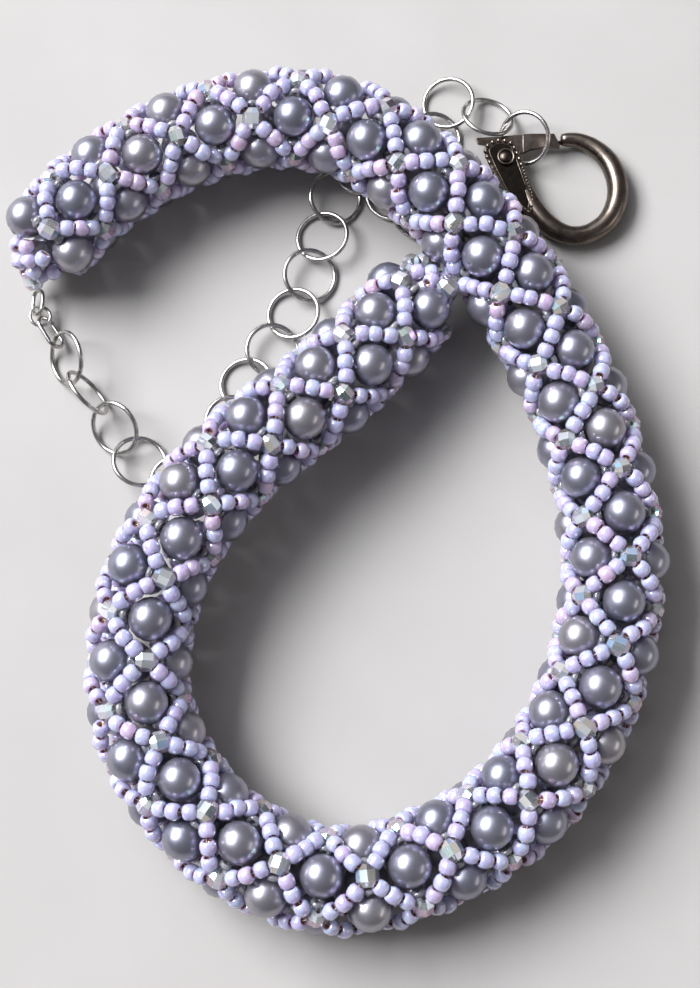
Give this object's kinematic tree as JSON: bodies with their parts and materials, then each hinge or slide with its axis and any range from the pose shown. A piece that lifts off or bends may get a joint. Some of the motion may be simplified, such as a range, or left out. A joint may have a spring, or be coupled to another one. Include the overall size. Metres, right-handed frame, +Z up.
{
  "type": "beaded necklace",
  "caption": "Netted rope of grey pearls, opal seed beads and crystals, with a jump-ring chain and a large lobster clasp, fastened and lying flat.",
  "frame": {"origin": "middle of the necklace's footprint, on the surface that it lies on", "axes": "+Z up from that surface, +Y from the round end of the loop towards the clasp, +X to the clasp's side"},
  "size_m": [0.1242, 0.1673, 0.024],
  "materials": {
    "pearl": "silver-grey pearl coating on glass, satin gloss",
    "opal_glass": "milky opal pink to lavender glass, glossy",
    "crystal": "clear faceted glass with an iridescent coat",
    "bright_silver": "polished silver-coloured wire",
    "antique_silver": "darkened cast metal, worn bright on its high places",
    "thread": "fine nylon beading thread"
  },
  "bodies": {
    "necklace": {"bead_rope_01": "pearl", "bead_rope_02": "pearl", "bead_rope_03": "pearl", "bead_rope_04": "pearl", "bead_rope_05": "pearl", "bead_rope_06": "pearl", "bead_rope_07": "pearl", "bead_rope_08": "pearl", "bead_rope_09": "pearl", "bead_rope_10": "pearl", "bead_rope_11": "pearl", "bead_rope_12": "pearl", "bead_rope_13": "pearl", "bead_rope_14": "pearl", "bead_rope_15": "pearl", "bead_rope_16": "pearl", "bead_rope_17": "pearl", "seed_end_clasp": "opal_glass", "seed_end_chain": "opal_glass", "crystal_clasp_end": "crystal", "crystal_chain_end": "crystal", "wire_guard": "bright_silver", "small_ring": "bright_silver", "oval_link": "bright_silver", "chain_ring_01": "bright_silver", "chain_ring_02": "bright_silver", "chain_ring_03": "bright_silver", "chain_ring_04": "bright_silver", "chain_ring_05": "bright_silver", "chain_ring_06": "bright_silver", "chain_ring_07": "bright_silver", "chain_ring_08": "bright_silver", "chain_ring_09": "bright_silver", "chain_ring_10": "bright_silver", "chain_ring_11": "bright_silver", "chain_ring_12": "bright_silver", "chain_ring_13": "bright_silver", "chain_ring_14": "bright_silver", "chain_ring_15": "bright_silver", "chain_ring_16": "bright_silver", "chain_ring_17": "bright_silver", "chain_ring_18": "bright_silver", "chain_ring_19": "bright_silver", "chain_ring_20": "bright_silver", "chain_ring_21": "bright_silver", "clasp_ring_01": "bright_silver", "clasp_ring_02": "bright_silver", "clasp_ring_03": "bright_silver", "clasp_body": "antique_silver", "clasp_rivet": "antique_silver"},
    "gate": {"clasp_lever": "antique_silver"}
  },
  "joints": [
    {"name": "gate_hinge", "type": "hinge", "parent": "necklace", "child": "gate", "pos_m": [0.0343, 0.0656, 0.0024], "axis": [0, 0, 1], "range_deg": [-10, 0], "stiffness_Nm_per_rad": 0.002, "springref_deg": 20.05}
  ]
}
